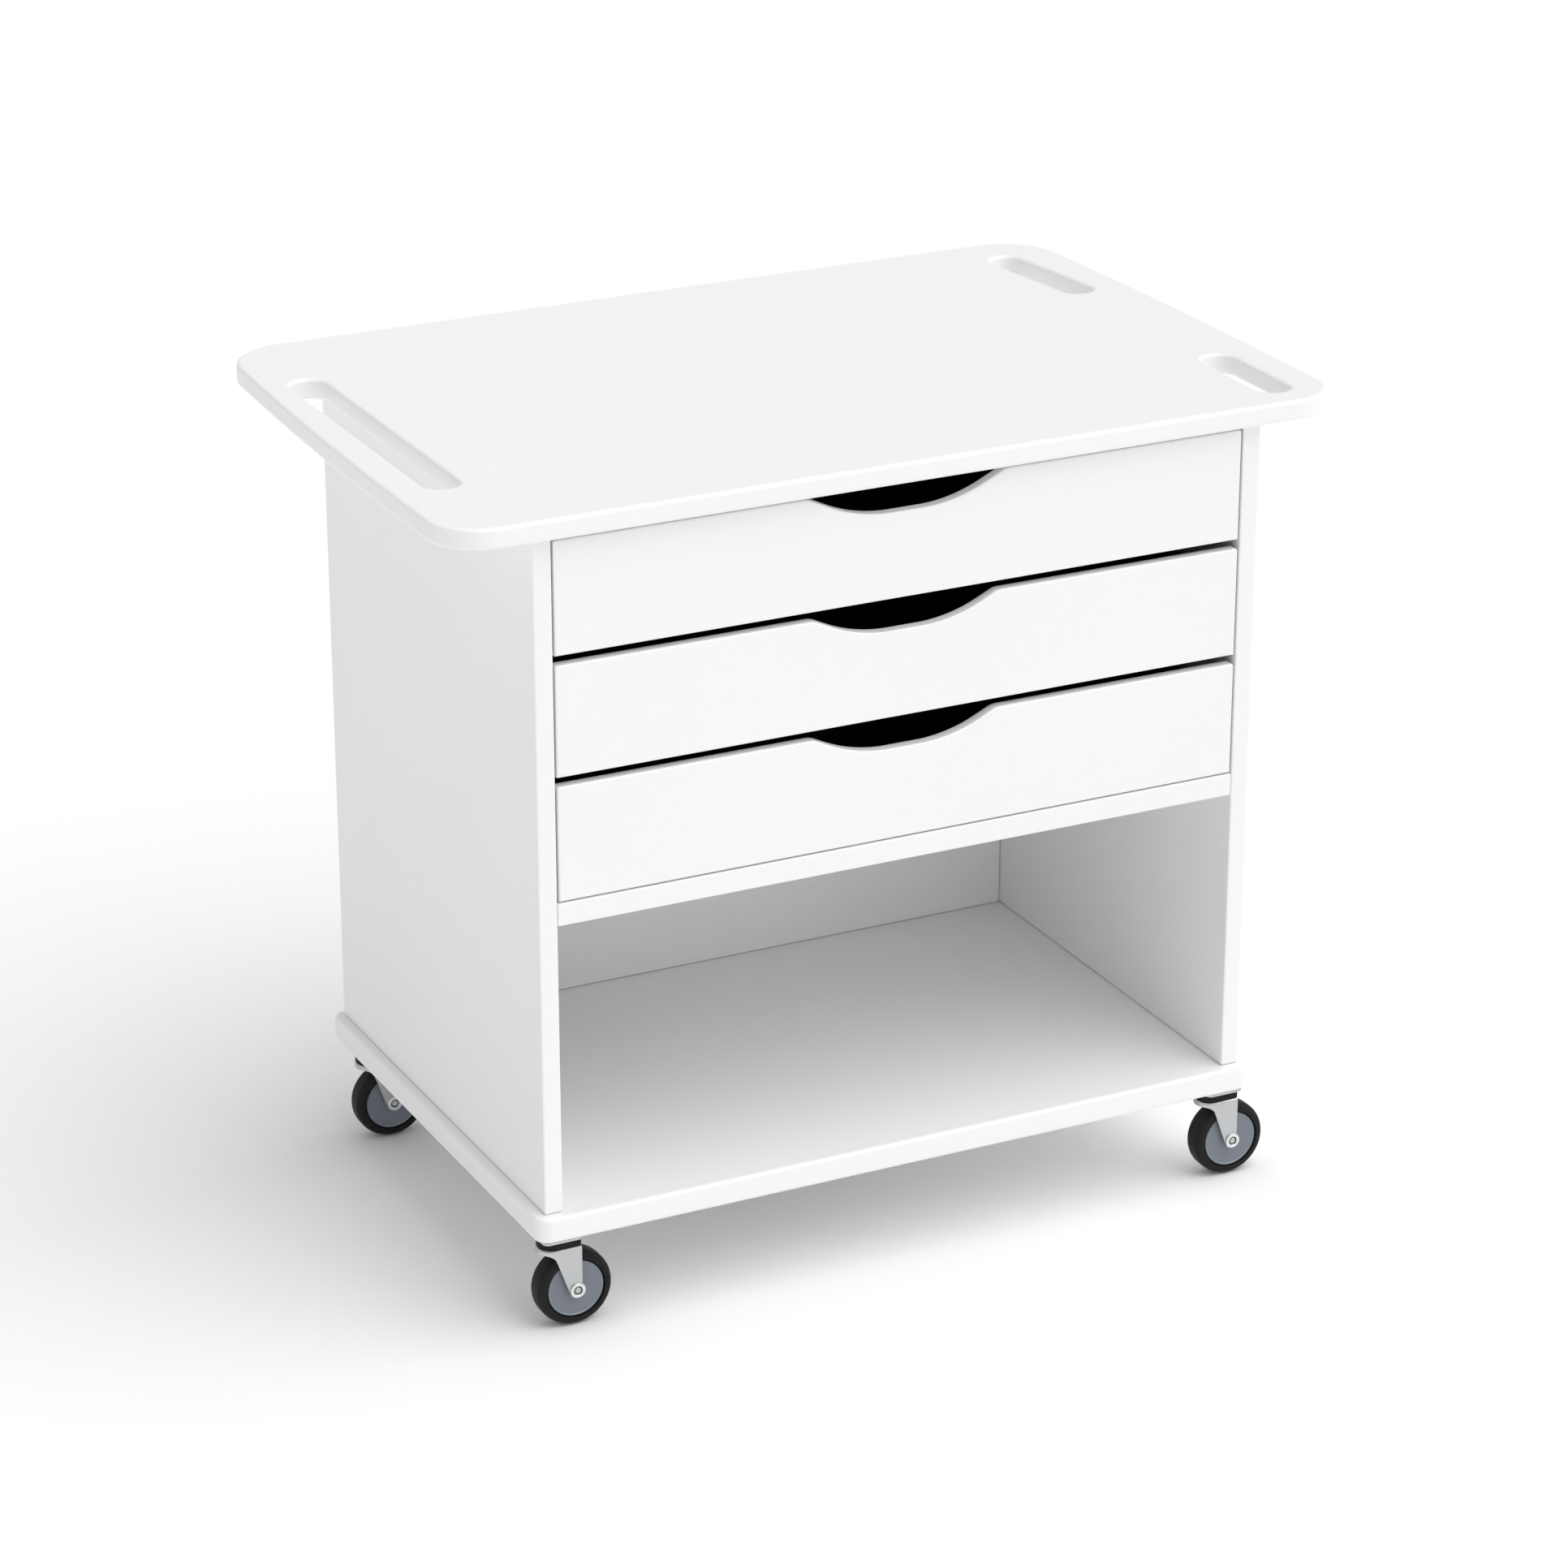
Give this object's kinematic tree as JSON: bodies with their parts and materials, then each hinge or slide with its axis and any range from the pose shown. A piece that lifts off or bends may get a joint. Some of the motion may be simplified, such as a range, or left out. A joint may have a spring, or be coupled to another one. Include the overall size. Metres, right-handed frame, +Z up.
{
  "type": "rolling tool chest",
  "caption": "White rolling tool chest: wide top with hand slots, scooped full-extension drawers, an open bay and swivel casters.",
  "frame": {"origin": "on the floor, below the centre of the top board in plan", "axes": "+X to the right when facing the drawers, +Y from the drawer fronts to the back, +Z up"},
  "size_m": [0.897, 0.582, 0.7937],
  "materials": {
    "white_board": "white satin lacquer over fine-textured board, edges rounded",
    "dark_board": "black matt melamine-faced board",
    "zinc_steel": "bright zinc plate, satin",
    "grey_plastic": "moulded, fine texture",
    "black_rubber": "soft black tread, slight sheen"
  },
  "bodies": {
    "cabinet": {"back_panel": "white_board", "base_panel": "white_board", "caster_front_left_plate": "zinc_steel", "caster_front_right_plate": "zinc_steel", "caster_rear_left_plate": "zinc_steel", "caster_rear_right_plate": "zinc_steel", "drawer_lower_left_cabinet_rail": "zinc_steel", "drawer_lower_right_cabinet_rail": "zinc_steel", "drawer_middle_left_cabinet_rail": "zinc_steel", "drawer_middle_right_cabinet_rail": "zinc_steel", "drawer_upper_left_cabinet_rail": "zinc_steel", "drawer_upper_right_cabinet_rail": "zinc_steel", "fixed_shelf": "white_board", "side_panel_left": "white_board", "side_panel_right": "white_board", "tabletop": "white_board"},
    "drawer_upper": {"drawer_upper_back": "dark_board", "drawer_upper_bottom": "dark_board", "drawer_upper_front": "white_board", "drawer_upper_left_drawer_rail": "zinc_steel", "drawer_upper_right_drawer_rail": "zinc_steel", "drawer_upper_side_left": "dark_board", "drawer_upper_side_right": "dark_board"},
    "runners_upper": {"drawer_upper_left_middle_rail": "zinc_steel", "drawer_upper_right_middle_rail": "zinc_steel"},
    "drawer_middle": {"drawer_middle_back": "dark_board", "drawer_middle_bottom": "dark_board", "drawer_middle_front": "white_board", "drawer_middle_left_drawer_rail": "zinc_steel", "drawer_middle_right_drawer_rail": "zinc_steel", "drawer_middle_side_left": "dark_board", "drawer_middle_side_right": "dark_board"},
    "runners_middle": {"drawer_middle_left_middle_rail": "zinc_steel", "drawer_middle_right_middle_rail": "zinc_steel"},
    "drawer_lower": {"drawer_lower_back": "dark_board", "drawer_lower_bottom": "dark_board", "drawer_lower_front": "white_board", "drawer_lower_left_drawer_rail": "zinc_steel", "drawer_lower_right_drawer_rail": "zinc_steel", "drawer_lower_side_left": "dark_board", "drawer_lower_side_right": "dark_board"},
    "runners_lower": {"drawer_lower_left_middle_rail": "zinc_steel", "drawer_lower_right_middle_rail": "zinc_steel"},
    "caster_front_left": {"caster_front_left_fork": "zinc_steel", "caster_front_left_axle": "zinc_steel"},
    "wheel_front_left": {"caster_front_left_hub": "grey_plastic", "caster_front_left_tyre": "black_rubber"},
    "caster_front_right": {"caster_front_right_fork": "zinc_steel", "caster_front_right_axle": "zinc_steel"},
    "wheel_front_right": {"caster_front_right_hub": "grey_plastic", "caster_front_right_tyre": "black_rubber"},
    "caster_rear_left": {"caster_rear_left_fork": "zinc_steel", "caster_rear_left_axle": "zinc_steel"},
    "wheel_rear_left": {"caster_rear_left_hub": "grey_plastic", "caster_rear_left_tyre": "black_rubber"},
    "caster_rear_right": {"caster_rear_right_fork": "zinc_steel", "caster_rear_right_axle": "zinc_steel"},
    "wheel_rear_right": {"caster_rear_right_hub": "grey_plastic", "caster_rear_right_tyre": "black_rubber"}
  },
  "joints": [
    {"name": "drawer_upper_slide", "type": "slide", "parent": "cabinet", "child": "drawer_upper", "axis": [0, -1, 0], "range_m": [0, 0.38]},
    {"name": "runners_upper_slide", "type": "slide", "parent": "cabinet", "child": "runners_upper", "axis": [0, -1, 0], "range_m": [0, 0.19]},
    {"name": "drawer_middle_slide", "type": "slide", "parent": "cabinet", "child": "drawer_middle", "axis": [0, -1, 0], "range_m": [0, 0.38]},
    {"name": "runners_middle_slide", "type": "slide", "parent": "cabinet", "child": "runners_middle", "axis": [0, -1, 0], "range_m": [0, 0.19]},
    {"name": "drawer_lower_slide", "type": "slide", "parent": "cabinet", "child": "drawer_lower", "axis": [0, -1, 0], "range_m": [0, 0.38]},
    {"name": "runners_lower_slide", "type": "slide", "parent": "cabinet", "child": "runners_lower", "axis": [0, -1, 0], "range_m": [0, 0.19]},
    {"name": "caster_front_left_swivel", "type": "hinge", "parent": "cabinet", "child": "caster_front_left", "pos_m": [-0.349, -0.254, 0.08182], "axis": [0, 0, 1], "continuous": true},
    {"name": "wheel_front_left_spin", "type": "hinge", "parent": "caster_front_left", "child": "wheel_front_left", "pos_m": [-0.33, -0.254, 0.03732], "axis": [0, 1, 0], "continuous": true},
    {"name": "caster_front_right_swivel", "type": "hinge", "parent": "cabinet", "child": "caster_front_right", "pos_m": [0.349, -0.254, 0.08182], "axis": [0, 0, 1], "continuous": true},
    {"name": "wheel_front_right_spin", "type": "hinge", "parent": "caster_front_right", "child": "wheel_front_right", "pos_m": [0.368, -0.254, 0.03732], "axis": [0, 1, 0], "continuous": true},
    {"name": "caster_rear_left_swivel", "type": "hinge", "parent": "cabinet", "child": "caster_rear_left", "pos_m": [-0.349, 0.186, 0.08182], "axis": [0, 0, 1], "continuous": true},
    {"name": "wheel_rear_left_spin", "type": "hinge", "parent": "caster_rear_left", "child": "wheel_rear_left", "pos_m": [-0.33, 0.186, 0.03732], "axis": [0, 1, 0], "continuous": true},
    {"name": "caster_rear_right_swivel", "type": "hinge", "parent": "cabinet", "child": "caster_rear_right", "pos_m": [0.349, 0.186, 0.08182], "axis": [0, 0, 1], "continuous": true},
    {"name": "wheel_rear_right_spin", "type": "hinge", "parent": "caster_rear_right", "child": "wheel_rear_right", "pos_m": [0.368, 0.186, 0.03732], "axis": [0, 1, 0], "continuous": true}
  ],
  "couplings": [
    {"joint": "runners_upper_slide", "follows": "drawer_upper_slide", "ratio": 0.5},
    {"joint": "runners_middle_slide", "follows": "drawer_middle_slide", "ratio": 0.5},
    {"joint": "runners_lower_slide", "follows": "drawer_lower_slide", "ratio": 0.5}
  ]
}
